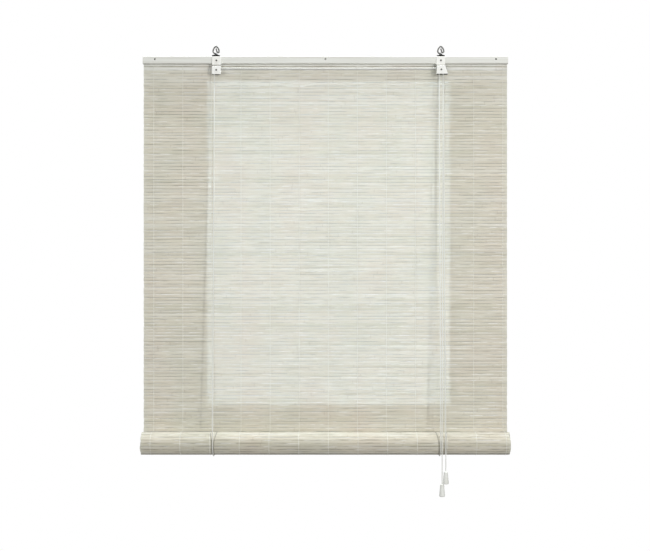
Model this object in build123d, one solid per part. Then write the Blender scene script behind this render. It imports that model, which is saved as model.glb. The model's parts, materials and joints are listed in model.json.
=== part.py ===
from build123d import *
import math
import os

os.makedirs("parts", exist_ok=True)

# A bamboo roll up blind, half raised. +Z is up, -Y is the front, and the origin is on the wall,
# at the middle screw hole of the headrail. All lengths are in millimetres.

# Blind
blind_width = 900.0
roll_drop = 943.0
overrun = 2.0

# Headrail, with the lath that clamps the mat behind it
headrail_height = 18.0
headrail_depth = 14.0
headrail_round = 1.5
lath_depth = 5.0
screw_line_depth = 7.0
screw_hole_radius = 2.25
screw_hole_inset = 30.0
brad_radius = 0.8
brad_head_radius = 1.7
brad_head_height = 0.9
brad_length = 14.0
brad_drop = 3.0
brad_place_shares = (-0.72, -0.4, -0.14, 0.14, 0.4, 0.72)
shank_clearance = 0.05

# Mat of split slats
slat_width = 7.4
slat_gap = 0.4
slat_thickness = 1.4
slat_chamfer = 0.4
mat_top_cover = 1.0
mat_end_gap = 0.4
web_width = 1.6
web_thickness = 0.6

# Warp strings
string_rows = 13
left_string_inset = 25.0
right_string_inset = 11.0
string_width = 1.4
string_thickness = 0.5
string_top_gap = 0.4

# Roll
stick_radius = 9.0
stick_clearance = 0.3
turn_pitch = 2.6
rolled_length = 874.0
groove_depth = 0.5

# Cords
cord_radius = 1.1
cord_clearance = 0.3
cord_hole_clearance = 0.2
rear_anchor_shift = 8.0
knot_radius = 2.3
knot_height = 4.6
knot_round = 1.5

# Pulley case and cord lock case, folded from sheet steel
left_case_x = -268.0
right_case_x = 284.0
sheet = 1.2
case_width = 22.0
case_top_drop = 0.5
case_shoulder_drop = 24.7
case_bottom_drop = 45.5
case_round = 2.0
flare_slope_share = 0.42
tab_depth = 3.0
tab_round = 2.5
tab_edge_round = 0.8
slot_height = 6.0

# Pulley wheels and their axle pins
axle_drop = 35.0
pulley_pitch_radius = 5.0
flange_rise = 1.6
wheel_width = 5.0
groove_floor_width = 2.4
groove_mouth_width = 3.8
side_clearance = 0.3
pin_radius = 1.5
pin_clearance = 0.15
pin_head_radius = 2.2
pin_head_height = 0.9

# Case screws
case_screw_drop = 10.8
case_screw_radius = 1.5
case_screw_head_radius = 2.2
case_screw_head_height = 1.4
case_screw_length = 12.5

# Locking roller
lock_roller_radius = 3.0
lock_roller_below_axle = 4.25
lock_roller_teeth = 14
knurl_depth = 0.35
lock_roller_travel = 4.5
stub_radius = 0.8
stub_length = 0.8
stub_clearance = 0.15

# Hanging hooks, bent from wire, on domed washers
left_hook_x = -270.0
right_hook_x = 285.0
hook_y_share = 0.56
wire_radius = 1.8
hook_half_width = 7.4
hook_neck = 1.5
hook_neck_radius = 3.2
hook_side_radius = 14.7
hook_tip_radius = 2.5
hook_curl_radius = 2.6
hook_curl_angle = 165.0
hook_tail = 8.0
hook_stem = 7.5
hook_collar_radius = 5.0
hook_collar_top_radius = 2.6
hook_collar_height = 3.5
washer_radius = 10.0
washer_rim = 3.6
washer_rise = 1.0

# Pull cords and tassels
right_pull_x = 282.3
left_pull_x = 291.2
right_tassel_drop = 95.0
left_tassel_drop = 64.5
tassel_height = 29.5
tassel_top_radius = 4.6
tassel_bottom_radius = 7.4
tassel_top_round = 1.5
tassel_bottom_round = 3.0
tassel_recess_radius = 4.6
tassel_recess_depth = 9.0
tassel_knot_radius = 2.8
tassel_knot_height = 5.0
round_limit_share = 0.75

# Places worked out from these sizes
headrail_top = screw_line_depth
headrail_bottom = headrail_top - headrail_height
mat_back = -lath_depth
mat_front = mat_back - slat_thickness
headrail_front = mat_front - headrail_depth
slat_pitch = slat_width + slat_gap
roll_z = -roll_drop
rolled_slats = round(rolled_length / slat_pitch)
stick_room = stick_radius + stick_clearance
inner_half_turn = slat_width / (2 * (stick_room + slat_thickness))
core_radius = slat_thickness + stick_room / math.cos(inner_half_turn)
roll_radius = math.sqrt(core_radius**2 + rolled_slats * slat_pitch * turn_pitch / math.pi)
roll_y = mat_back - roll_radius
sling_radius = roll_radius + cord_clearance + cord_radius
sling_front_y = roll_y - sling_radius
sling_rear_y = roll_y + sling_radius
case_inside_y = headrail_front - sheet
tab_front_y = headrail_front - tab_depth
axle_z = headrail_top - axle_drop
crossing_z = axle_z + pulley_pitch_radius
rear_groove_y = case_inside_y - side_clearance - wheel_width / 2
front_groove_y = rear_groove_y - wheel_width - side_clearance
left_inside_depth = wheel_width + 2 * side_clearance
right_inside_depth = 2 * wheel_width + 3 * side_clearance
screw_hole_x = blind_width / 2 - screw_hole_inset
hook_y = headrail_front * hook_y_share
sling_places = (left_case_x - pulley_pitch_radius, right_case_x - pulley_pitch_radius)
anchor_places = tuple(x - rear_anchor_shift for x in sling_places)
string_spacing = (blind_width - left_string_inset - right_string_inset) / (string_rows - 1)
string_start = left_string_inset - blind_width / 2
string_places = [string_start + i * string_spacing for i in range(string_rows)]


# The locking roller rests between the pull cords and the flared wall, and runs down along that wall
flare_stretch = math.sqrt(1 + flare_slope_share**2)
slide_x = flare_slope_share / flare_stretch
slide_z = -1 / flare_stretch
roller_x = pulley_pitch_radius + cord_radius + cord_clearance + lock_roller_radius
roller_z = axle_z - lock_roller_below_axle
wall_reach = (lock_roller_radius + cord_clearance + sheet) * flare_stretch
flare_start_z = roller_z + (roller_x + wall_reach - case_width / 2) / flare_slope_share
lock_middle_y = case_inside_y - right_inside_depth / 2


def front_plane(x, y, z):
    """A plane that faces the room, with its own y upwards."""
    return Plane(origin=(x, y, z), x_dir=(1, 0, 0), z_dir=(0, -1, 0))


def rod(radius, start, length):
    """A round bar from start, running towards the wall."""
    return extrude(Plane(origin=start, x_dir=(1, 0, 0), z_dir=(0, 1, 0)) * Circle(radius), amount=length)


def cord_run(bottom, top):
    """A straight cord with level ends, so that it meets its neighbours face to face."""
    run = Vector(*top) - Vector(*bottom)
    return extrude(Pos(*bottom) * Circle(cord_radius), amount=run.length, dir=run.normalized())


def screw_holes(from_y, to_y):
    """The three holes that the fixing screws go through."""
    return [
        rod(screw_hole_radius, (x, from_y - overrun, 0), to_y - from_y + 2 * overrun)
        for x in (-screw_hole_x, 0, screw_hole_x)
    ]


def brads(extra):
    """The brads that clamp the mat, driven from the back, each grown by extra for its hole."""
    z = headrail_top - headrail_height / 2 - brad_drop
    made = []
    for share in brad_place_shares:
        x = share * blind_width / 2
        shank = rod(brad_radius + extra, (x, -brad_length - extra, z), brad_length + extra)
        head = rod(brad_head_radius + extra, (x, -brad_head_height - extra, z), brad_head_height + extra)
        made.append(shank + head)
    return made


def case_screws(extra):
    """The screw of each case, with its head on the case's tab."""
    z = headrail_top - case_screw_drop
    made = []
    for x in (left_case_x, right_case_x):
        shank = rod(case_screw_radius + extra, (x, tab_front_y, z), case_screw_length + extra)
        head_start = (x, tab_front_y - case_screw_head_height, z)
        head = rod(case_screw_head_radius, head_start, case_screw_head_height)
        crown = head.edges().filter_by(GeomType.CIRCLE).sort_by(Axis.Y)[0]
        made.append(fillet(crown, case_screw_head_height / 2) + shank)
    return made


def hook_holes(radius):
    """Holes for the hooks' stems, down into the headrail's top."""
    depth = hook_stem + shank_clearance + overrun
    return [
        Pos(x, hook_y, headrail_top + overrun - depth / 2) * Cylinder(radius, depth)
        for x in (left_hook_x, right_hook_x)
    ]


def make_headrail():
    """The batten that shows, with its front edges eased."""
    block = Pos(0, (mat_front + headrail_front) / 2, headrail_top - headrail_height / 2) * Box(
        blind_width, headrail_depth, headrail_height
    )
    front_edges = block.edges().filter_by(Axis.X).sort_by(Axis.Y)[:2]
    block = fillet(front_edges, headrail_round)
    block -= screw_holes(headrail_front, mat_front)
    block -= hook_holes(wire_radius + shank_clearance)
    block -= brads(shank_clearance)
    return block - case_screws(shank_clearance)


def make_lath():
    """The lath behind the mat. Each lifting cord goes up through it to a knot."""
    block = Pos(0, -lath_depth / 2, headrail_top - headrail_height / 2) * Box(
        blind_width, lath_depth, headrail_height
    )
    block -= screw_holes(-lath_depth, 0)
    block -= brads(shank_clearance)
    for x in anchor_places:
        block -= Pos(x, -lath_depth / 2, headrail_top - headrail_height / 2) * Cylinder(
            cord_radius + cord_hole_clearance, headrail_height + 2 * overrun
        )
    return block


def make_mat():
    """The hanging mat: one wall of slats, joined where the outermost strings pass between them."""
    bottom = roll_z + mat_end_gap
    top = headrail_top - mat_top_cover
    count = int((top - bottom + slat_pitch - slat_width) / slat_pitch)
    profile = Polyline(
        (mat_back, 0),
        (mat_back, slat_width),
        (mat_front + slat_chamfer, slat_width),
        (mat_front, slat_width - slat_chamfer),
        (mat_front, slat_chamfer),
        (mat_front + slat_chamfer, 0),
        close=True,
    )
    slat = extrude(Plane.YZ * make_face(profile), amount=blind_width / 2, both=True)
    slats = [Pos(0, 0, bottom + i * slat_pitch) * slat for i in range(count)]
    web_length = (count - 1) * slat_pitch
    webs = [
        Pos(x, (mat_back + mat_front) / 2, bottom + slat_width / 2 + web_length / 2)
        * Box(web_width, web_thickness, web_length)
        for x in (string_places[0], string_places[-1])
    ]
    mat = slats[0].fuse(*slats[1:], *webs)
    mat = mat - screw_holes(mat_front, mat_back)
    print("slats in the hanging mat:", count)
    return mat - brads(shank_clearance)


def make_strings():
    """A front and a back strand for each row of the weave, below the headrail."""
    top = headrail_bottom - string_top_gap
    bottom = roll_z + mat_end_gap
    made = []
    for x in string_places:
        for y in (mat_front - string_thickness / 2, mat_back + string_thickness / 2):
            made.append(Pos(x, y, (top + bottom) / 2) * Box(string_width, string_thickness, top - bottom))
    return made


def spiral(turned, radius):
    """A point of the roll's section. The mat comes down at the back and winds under to the front."""
    return (roll_y + radius * math.cos(turned), roll_z - radius * math.sin(turned))


def make_roll():
    """The rolled mat: a coil of flat slats with a groove between each two, as one solid."""
    outer = []
    inner = []
    turned = 0.0
    for _ in range(rolled_slats):
        radius = roll_radius - turn_pitch * turned / (2 * math.pi)
        slat_turn = slat_width / radius
        gap_turn = slat_gap / radius
        end_radius = radius - turn_pitch * slat_turn / (2 * math.pi)
        outer.append(spiral(turned, radius))
        outer.append(spiral(turned + slat_turn, end_radius))
        outer.append(spiral(turned + slat_turn + gap_turn / 2, end_radius - groove_depth))
        inner.append(spiral(turned, radius - slat_thickness))
        inner.append(spiral(turned + slat_turn, end_radius - slat_thickness))
        turned += slat_turn + gap_turn
    outer.pop()
    section = make_face(Polyline(*outer, *reversed(inner), close=True))
    print("turns in the roll:", round(turned / (2 * math.pi), 2), "inner radius:", round(end_radius, 2))
    return extrude(Plane.YZ * section, amount=blind_width / 2, both=True)


def make_hook(x):
    """A pigtail hook: stem, collar, teardrop loop and a free end that curls up inside the loop."""
    base = headrail_top + washer_rim + washer_rise
    widest = hook_neck + hook_half_width
    side = hook_side_radius - hook_half_width
    reach = hook_side_radius - hook_tip_radius
    tip = widest + math.sqrt(reach**2 - side**2)
    turn = math.degrees(math.acos(side / reach))
    low_radius = hook_half_width - hook_neck_radius
    curl = math.radians(hook_curl_angle)
    curl_x = hook_half_width - hook_curl_radius + hook_curl_radius * math.cos(curl)
    curl_y = widest - hook_curl_radius * math.sin(curl)
    stem_foot = headrail_top - hook_stem - base
    path = [
        Line((0, stem_foot), (0, hook_neck)),
        CenterArc((-hook_neck_radius, hook_neck), hook_neck_radius, 0, 90),
        CenterArc((-hook_neck_radius, widest), low_radius, 270, -90),
        CenterArc((side, widest), hook_side_radius, 180, -turn),
        CenterArc((0, tip), hook_tip_radius, 180 - turn, 2 * turn - 180),
        CenterArc((-side, widest), hook_side_radius, turn, -turn),
        CenterArc((hook_half_width - hook_curl_radius, widest), hook_curl_radius, 0, -hook_curl_angle),
        Line(
            (curl_x, curl_y),
            (curl_x - hook_tail * math.sin(curl), curl_y - hook_tail * math.cos(curl)),
        ),
    ]
    plane = front_plane(x, hook_y, base)
    wire = plane * Wire(path)
    section = Plane(origin=(x, hook_y, headrail_top - hook_stem), z_dir=(0, 0, 1)) * Circle(wire_radius)
    foot = (Align.CENTER, Align.CENTER, Align.MIN)
    collar = Cone(hook_collar_radius, hook_collar_top_radius, hook_collar_height, align=foot)
    return sweep(section, path=wire) + Pos(x, hook_y, base) * collar


def make_washer(x):
    """A domed washer under a hook."""
    hole = wire_radius + shank_clearance
    crown = (hole, headrail_top + washer_rim + washer_rise)
    rim = (washer_radius, headrail_top + washer_rim)
    outline = [
        Line((hole, headrail_top), (washer_radius, headrail_top)),
        Line((washer_radius, headrail_top), rim),
        TangentArc(crown, rim, tangent=(1, 0)),
        Line(crown, (hole, headrail_top)),
    ]
    section = Plane.XZ * make_face(outline)
    return Pos(x, hook_y, 0) * revolve(section, axis=Axis.Z)


def case_outer_x(z, slope):
    """The outside of a case's right wall at the height z, from the case's middle."""
    return case_width / 2 + slope * max(flare_start_z - z, 0)


def case_inner_x(z, slope):
    """The inside of that wall."""
    return case_outer_x(z, slope) - sheet * math.sqrt(1 + slope**2)


def make_case(x, inside_depth, slope, slot_side):
    """A shallow pan on the headrail and, below it, a folded box round the pulley, open underneath."""
    half = case_width / 2
    tab_top = headrail_top - case_top_drop
    shoulder = headrail_top - case_shoulder_drop
    start = flare_start_z
    bottom = headrail_top - case_bottom_drop
    foot = case_outer_x(bottom, slope)
    shell = Polyline(
        (-half, bottom), (-half, shoulder), (half, shoulder), (half, start), (foot, bottom), close=True
    )
    hollow = Polyline(
        (sheet - half, bottom - overrun),
        (sheet - half, shoulder - sheet),
        (case_inner_x(start, slope), shoulder - sheet),
        (case_inner_x(start, slope), start),
        (case_inner_x(bottom, slope), bottom),
        (case_inner_x(bottom - overrun, slope), bottom - overrun),
        close=True,
    )
    face = front_plane(x, headrail_front, 0)
    tab_height = tab_top - shoulder
    tab_middle = Pos(0, (tab_top + shoulder) / 2)
    tab = extrude(face * tab_middle * Rectangle(case_width, tab_height), amount=tab_depth)
    tab = fillet(tab.edges().filter_by(Axis.Y).sort_by(Axis.Z)[-2:], tab_round)
    tab = fillet(tab.faces().sort_by(Axis.Y)[0].edges().sort_by(Axis.Z)[1:], tab_edge_round)
    tab_room = Rectangle(case_width - 2 * sheet, tab_height - 2 * sheet)
    tab -= extrude(face * tab_middle * tab_room, amount=tab_depth - sheet)
    box = extrude(face * make_face(shell), amount=inside_depth + 2 * sheet)
    front_face = box.faces().sort_by(Axis.Y)[0]
    bends = front_face.edges().sort_by(Axis.Z)[1:]
    box = fillet(bends, case_round)
    room = extrude(front_plane(x, case_inside_y, 0) * make_face(hollow), amount=inside_depth)
    case = tab + box - room
    slot_x = x + slot_side * (half - sheet / 2)
    slot_y = case_inside_y - inside_depth / 2
    case -= Pos(slot_x, slot_y, crossing_z) * Box(sheet + overrun, inside_depth, slot_height)
    pin_y = case_inside_y - inside_depth - sheet
    pin_start = (x, pin_y - overrun, axle_z)
    case -= rod(pin_radius + shank_clearance, pin_start, inside_depth + 2 * (sheet + overrun))
    return case - case_screws(shank_clearance)


def make_pin(x, inside_depth):
    """A riveted axle pin with its head on the front of the case."""
    front = case_inside_y - inside_depth - sheet
    shank = rod(pin_radius, (x, front, axle_z), inside_depth + 2 * sheet)
    head = rod(pin_head_radius, (x, front - pin_head_height, axle_z), pin_head_height)
    crown = head.edges().filter_by(GeomType.CIRCLE).sort_by(Axis.Y)[0]
    return fillet(crown, pin_head_height / 2) + shank


def make_wheel(x, y):
    """A grooved pulley wheel on its axle pin."""
    floor = pulley_pitch_radius - cord_radius - cord_clearance
    flange = pulley_pitch_radius + flange_rise
    bore = pin_radius + pin_clearance
    half = wheel_width / 2
    outline = Polyline(
        (bore, -half),
        (flange, -half),
        (flange, -groove_mouth_width / 2),
        (floor, -groove_floor_width / 2),
        (floor, groove_floor_width / 2),
        (flange, groove_mouth_width / 2),
        (flange, half),
        (bore, half),
        close=True,
    )
    wheel = revolve(Plane.XY * make_face(outline), axis=Axis.Y)
    return Pos(x, y, axle_z) * wheel


def make_lock_roller():
    """A knurled roller with a stub at each end."""
    points = []
    for i in range(2 * lock_roller_teeth):
        radius = lock_roller_radius - knurl_depth * (i % 2)
        angle = math.pi * i / lock_roller_teeth
        points.append((radius * math.cos(angle), radius * math.sin(angle)))
    length = right_inside_depth - 2 * side_clearance
    middle = front_plane(right_case_x + roller_x, lock_middle_y, roller_z)
    body = extrude(middle * make_face(Polyline(*points, close=True)), amount=length / 2, both=True)
    return body + extrude(middle * Circle(stub_radius), amount=length / 2 + stub_length, both=True)


def stub_grooves():
    """Slanted grooves pressed into the front and back of the lock case, which guide the stubs."""
    radius = stub_radius + stub_clearance
    middle_x = right_case_x + roller_x + slide_x * lock_roller_travel / 2
    middle_z = roller_z + slide_z * lock_roller_travel / 2
    plane = Plane(origin=(middle_x, lock_middle_y, middle_z), x_dir=(slide_x, 0, slide_z), z_dir=(0, -1, 0))
    depth = right_inside_depth / 2 - side_clearance + stub_length + stub_clearance
    return extrude(plane * SlotCenterToCenter(lock_roller_travel, 2 * radius), amount=depth, both=True)


def make_sling(x):
    """The loop of a lifting cord under the roll."""
    path = Plane(origin=(x, roll_y, roll_z), x_dir=(0, 1, 0), z_dir=(1, 0, 0)) * CenterArc(
        (0, 0), sling_radius, 180, 180
    )
    return sweep(Pos(x, sling_front_y, roll_z) * Circle(cord_radius), path=path)


def make_crossing():
    """The left cord's run over its pulley, across the mat and over the rear wheel of the lock case."""
    plane = front_plane(0, rear_groove_y, 0)
    path = [
        CenterArc((left_case_x, axle_z), pulley_pitch_radius, 180, -90),
        Line((left_case_x, crossing_z), (right_case_x, crossing_z)),
        CenterArc((right_case_x, axle_z), pulley_pitch_radius, 90, -90),
    ]
    start = Pos(left_case_x - pulley_pitch_radius, rear_groove_y, axle_z) * Circle(cord_radius)
    return sweep(start, path=plane * Wire(path))


def make_bend():
    """The right cord's half turn over the front wheel of the lock case."""
    middle = front_plane(right_case_x, front_groove_y, axle_z)
    path = middle * CenterArc((0, 0), pulley_pitch_radius, 180, -180)
    start = Pos(right_case_x - pulley_pitch_radius, front_groove_y, axle_z) * Circle(cord_radius)
    return sweep(start, path=path)


def make_tassel(x, drop):
    """A bell-shaped tassel: a bore for the cord above, a recess for its knot below."""
    top = roll_z - drop
    bottom = top - tassel_height
    bore = cord_radius + cord_hole_clearance
    ceiling = bottom + tassel_recess_depth
    outline = Polyline(
        (bore, top),
        (tassel_top_radius, top),
        (tassel_bottom_radius, bottom),
        (tassel_recess_radius, bottom),
        (tassel_recess_radius, ceiling),
        (bore, ceiling),
        close=True,
    )
    section = make_face(outline)
    rim = tassel_bottom_radius - tassel_recess_radius
    bottom_round = min(tassel_bottom_round, round_limit_share * rim)
    top_round = min(tassel_top_round, round_limit_share * (tassel_top_radius - bore))
    section = fillet(section.vertices().sort_by_distance((tassel_bottom_radius, bottom))[0], bottom_round)
    section = fillet(section.vertices().sort_by_distance((tassel_top_radius, top))[0], top_round)
    bell = revolve(Plane.XZ * section, axis=Axis.Z)
    return Pos(x, sling_front_y, 0) * bell


def knot(x, y, bottom, radius, height):
    """A pulled-up knot, as a plain barrel."""
    barrel = Pos(x, y, bottom + height / 2) * Cylinder(radius, height)
    return fillet(barrel.edges().filter_by(GeomType.CIRCLE), knot_round)


# Pieces of the blind, one node each
lock_case = make_case(right_case_x, right_inside_depth, flare_slope_share, -1) - stub_grooves()
left_sling_x, right_sling_x = sling_places
left_pulled = (right_case_x + pulley_pitch_radius, rear_groove_y, axle_z)
right_pulled = (right_case_x + pulley_pitch_radius, front_groove_y, axle_z)

nodes = {
    "headrail": make_headrail(),
    "rear_lath": make_lath(),
    "lath_brads": brads(0),
    "bamboo_mat": make_mat(),
    "warp_strings": make_strings(),
    "rolled_mat": make_roll(),
    "bottom_stick": Pos(0, roll_y, roll_z) * Rot(0, 90, 0) * Cylinder(stick_radius, blind_width),
    "left_hanging_hook": make_hook(left_hook_x),
    "right_hanging_hook": make_hook(right_hook_x),
    "left_hook_washer": make_washer(left_hook_x),
    "right_hook_washer": make_washer(right_hook_x),
    "left_pulley_case": make_case(left_case_x, left_inside_depth, 0, 1),
    "cord_lock_case": lock_case,
    "case_screws": case_screws(0),
    "left_axle_pin": make_pin(left_case_x, left_inside_depth),
    "lock_axle_pin": make_pin(right_case_x, right_inside_depth),
    "left_pulley_wheel": make_wheel(left_case_x, rear_groove_y),
    "lock_rear_wheel": make_wheel(right_case_x, rear_groove_y),
    "lock_front_wheel": make_wheel(right_case_x, front_groove_y),
    "locking_roller": make_lock_roller(),
    "left_cord_sling": make_sling(left_sling_x),
    "right_cord_sling": make_sling(right_sling_x),
    "left_cord_crossing": make_crossing(),
    "right_cord_bend": make_bend(),
}

for side, x, anchor_x, groove_y in (
    ("left", left_sling_x, anchor_places[0], rear_groove_y),
    ("right", right_sling_x, anchor_places[1], front_groove_y),
):
    nodes[side + "_front_cord"] = cord_run((x, sling_front_y, roll_z), (x, groove_y, axle_z))
    anchor = (anchor_x, -lath_depth / 2, headrail_top)
    nodes[side + "_rear_cord"] = cord_run((x, sling_rear_y, roll_z), anchor)
    nodes[side + "_stop_knot"] = knot(*anchor, knot_radius, knot_height)

for side, x, drop, pulled in (
    ("left", left_pull_x, left_tassel_drop, left_pulled),
    ("right", right_pull_x, right_tassel_drop, right_pulled),
):
    ceiling = roll_z - drop - tassel_height + tassel_recess_depth
    nodes[side + "_pull_cord"] = cord_run((x, sling_front_y, roll_z), pulled)
    nodes[side + "_cord_tail"] = cord_run((x, sling_front_y, ceiling), (x, sling_front_y, roll_z))
    nodes[side + "_tassel"] = make_tassel(x, drop)
    nodes[side + "_tassel_knot"] = knot(
        x, sling_front_y, ceiling - tassel_knot_height, tassel_knot_radius, tassel_knot_height
    )

for name, shape in nodes.items():
    solid = Compound(children=shape) if isinstance(shape, list) else shape
    export_step(solid, os.path.join("parts", name + ".step"))

print("roll radius:", round(roll_radius, 3), "roll middle:", round(roll_y, 3), roll_z)
print("locking roller at", round(right_case_x + roller_x, 2), round(roller_z, 2))
print("slide", round(slide_x, 4), round(slide_z, 4))
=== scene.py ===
# %% [markdown]
# # A bamboo roll up blind
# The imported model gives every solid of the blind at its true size: headrail, mat, roll, pulleys, cords.
# Here each piece gets its looks. Rigid fittings keep their solids and get a finish of their own, and the
# woven mat, the roll and the cords are modelled again as what they are.

# %% Load the frame
import json
import math

import bpy
import numpy as np
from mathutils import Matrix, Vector


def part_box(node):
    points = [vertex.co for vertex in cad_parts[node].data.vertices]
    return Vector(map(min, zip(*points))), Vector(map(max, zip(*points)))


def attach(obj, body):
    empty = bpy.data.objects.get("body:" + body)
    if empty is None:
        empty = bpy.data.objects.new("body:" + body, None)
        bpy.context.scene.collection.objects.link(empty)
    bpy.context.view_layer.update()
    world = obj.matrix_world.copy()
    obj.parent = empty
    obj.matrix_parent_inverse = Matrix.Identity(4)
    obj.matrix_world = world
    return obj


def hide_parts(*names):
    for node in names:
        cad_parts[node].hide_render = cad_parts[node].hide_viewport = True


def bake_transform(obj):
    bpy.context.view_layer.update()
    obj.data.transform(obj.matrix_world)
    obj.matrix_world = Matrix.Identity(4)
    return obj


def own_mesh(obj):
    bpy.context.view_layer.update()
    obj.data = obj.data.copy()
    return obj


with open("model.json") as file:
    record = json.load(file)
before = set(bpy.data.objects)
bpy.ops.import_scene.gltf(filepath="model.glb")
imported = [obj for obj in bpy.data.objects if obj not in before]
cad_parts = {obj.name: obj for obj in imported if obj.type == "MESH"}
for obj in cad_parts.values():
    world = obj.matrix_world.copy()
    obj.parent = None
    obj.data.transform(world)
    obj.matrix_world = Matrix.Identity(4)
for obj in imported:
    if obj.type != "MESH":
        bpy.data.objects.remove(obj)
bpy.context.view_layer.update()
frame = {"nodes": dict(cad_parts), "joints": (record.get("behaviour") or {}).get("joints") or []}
nodes = frame["nodes"]
scene = bpy.context.scene
scene.view_settings.view_transform = "Standard"
chance = np.random.default_rng(11)

# %% [markdown]
# The camera stands level in front of the blind, a little above its middle. A lens given as a focal length
# in pixels of the picture is turned into millimetres on the sensor's 36 mm.

# %% Camera
PICTURE_WIDTH = 650
FOCAL_PIXELS = 1028.0
SENSOR = 36.0
CAMERA_PLACE = (-0.001, -2.551, -0.5328)

bpy.ops.object.select_all(action="DESELECT")
bpy.ops.object.camera_add(location=CAMERA_PLACE, rotation=(math.pi / 2, 0, 0))
camera = bpy.context.object
camera.data.sensor_width = SENSOR
camera.data.lens = SENSOR * FOCAL_PIXELS / PICTURE_WIDTH
scene.camera = camera
print("camera lens:", round(camera.data.lens, 1), "mm")

# %% [markdown]
# The sizes below come from the frame: boxes of the solids and the place of the roll's hinge. The few that a
# box can't tell, such as the width of one slat, repeat the named sizes of the model.

# %% Sizes
mat_low, mat_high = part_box("bamboo_mat")
rail_low, rail_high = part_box("headrail")
joints = {joint["name"]: joint for joint in frame["joints"]}
ROLL_MIDDLE = Vector(joints["roll_turn"]["pos_m"])
HALF_WIDTH = mat_high.x
MAT_Y = (mat_low.y + mat_high.y) / 2
SLAT_THICK = mat_high.y - mat_low.y
SLAT_WIDTH = 0.0074
SLAT_GAP = 0.0004
SLAT_PITCH = SLAT_WIDTH + SLAT_GAP
ROLL_RADIUS = mat_high.y - ROLL_MIDDLE.y
TURN_PITCH = 0.0026
ROLLED_SLATS = 112
STRING_ROWS = 13
LEFT_STRING_INSET = 0.025
RIGHT_STRING_INSET = 0.011
STRING_PLACES = np.linspace(LEFT_STRING_INSET - HALF_WIDTH, HALF_WIDTH - RIGHT_STRING_INSET, STRING_ROWS)
CORD_RADIUS = 0.0011
CORD_CLEARANCE = 0.0003
SLING_RADIUS = ROLL_RADIUS + CORD_CLEARANCE + CORD_RADIUS
LEFT_CORD_X = -0.273
RIGHT_CORD_X = 0.279
hanging_slats = round((mat_high.z - mat_low.z + SLAT_GAP) / SLAT_PITCH)
print("slats: hanging", hanging_slats, "rolled", ROLLED_SLATS)

# %% [markdown]
# Finishes are small node trees, and a few helpers keep them readable. The first turns a colour as seen on
# screen into the linear numbers that a socket takes, the next start a finish and add a node with its inputs,
# and the rest are short names for the nodes that come back in almost every finish.

# %% Helpers for finishes


def seen(red, green, blue):
    """A colour as seen on screen, 0 to 255, as a linear colour."""
    shares = [value / 255 for value in (red, green, blue)]
    linear = [s / 12.92 if s <= 0.04045 else ((s + 0.055) / 1.055) ** 2.4 for s in shares]
    return (*linear, 1.0)


def new_finish(name, colour, roughness, metallic=0.0):
    """A finish with plain numbers on its shader. Returns the material, its tree and its shader."""
    finish = bpy.data.materials.new(name)
    finish.use_nodes = True
    shader = finish.node_tree.nodes["Principled BSDF"]
    shader.inputs["Base Color"].default_value = colour
    shader.inputs["Roughness"].default_value = roughness
    shader.inputs["Metallic"].default_value = metallic
    return finish, finish.node_tree, shader


def add_node(tree, kind, inputs=None, **settings):
    """A node with its settings, and its inputs set to values or joined to sockets."""
    node = tree.nodes.new(kind)
    for key, value in settings.items():
        setattr(node, key, value)
    for key, value in (inputs or {}).items():
        if isinstance(value, bpy.types.NodeSocket):
            tree.links.new(value, node.inputs[key])
        else:
            node.inputs[key].default_value = value
    return node


def stretched_noise(tree, vector, stretch, detail=4.0, roughness=0.55):
    """Noise on a vector that is first stretched along its axes. Returns the 0 to 1 socket."""
    mapped = add_node(tree, "ShaderNodeMapping", {"Vector": vector, "Scale": stretch})
    noise = add_node(
        tree,
        "ShaderNodeTexNoise",
        {"Vector": mapped.outputs["Vector"], "Scale": 1.0, "Detail": detail, "Roughness": roughness},
    )
    return noise.outputs["Fac"]


def spread(tree, value, low, high, from_low=0.0, from_high=1.0):
    """A value moved from one range to another, and kept inside it."""
    node = add_node(
        tree,
        "ShaderNodeMapRange",
        {"Value": value, "From Min": from_low, "From Max": from_high, "To Min": low, "To Max": high},
    )
    return node.outputs["Result"]


def calc(tree, operation, *values):
    """A calculation on numbers and sockets. Returns the socket of its result."""
    return add_node(tree, "ShaderNodeMath", dict(enumerate(values)), operation=operation).outputs[0]


def parts_of(tree, vector):
    """The sockets X, Y and Z of a vector."""
    return add_node(tree, "ShaderNodeSeparateXYZ", {"Vector": vector}).outputs


def stored(tree, name):
    """The sockets of a value that is stored on the mesh."""
    return add_node(tree, "ShaderNodeAttribute", attribute_name=name).outputs


def tinted(tree, amount, first, second):
    """Two colours, or a colour and a socket, mixed by an amount."""
    node = add_node(tree, "ShaderNodeMix", data_type="RGBA")
    for socket, value in ((node.inputs[0], amount), (node.inputs[6], first), (node.inputs[7], second)):
        if isinstance(value, bpy.types.NodeSocket):
            tree.links.new(value, socket)
        else:
            socket.default_value = value
    return node.outputs[2]


def bumped(tree, shader, height, strength, distance):
    """A bump from a height socket, in metres."""
    bump = add_node(
        tree, "ShaderNodeBump", {"Height": height, "Strength": strength, "Distance": distance}
    )
    tree.links.new(bump.outputs["Normal"], shader.inputs["Normal"])


def object_place(tree):
    """Where a point is on the object, in metres."""
    return add_node(tree, "ShaderNodeTexCoord").outputs["Object"]


print("helpers for finishes are ready")

# %% [markdown]
# ## Bamboo
# The slats are split bamboo with a thin white wash. The wash lets the beige cane show in streaks along the
# fibres, some slats are pinker or greener than others, and each has a knuckle every few hand widths. Noise
# that is stretched along the slat makes the streaks. It reads a place that is stored on the slats, so the
# streaks follow a slat also where it is rolled up.

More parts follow.
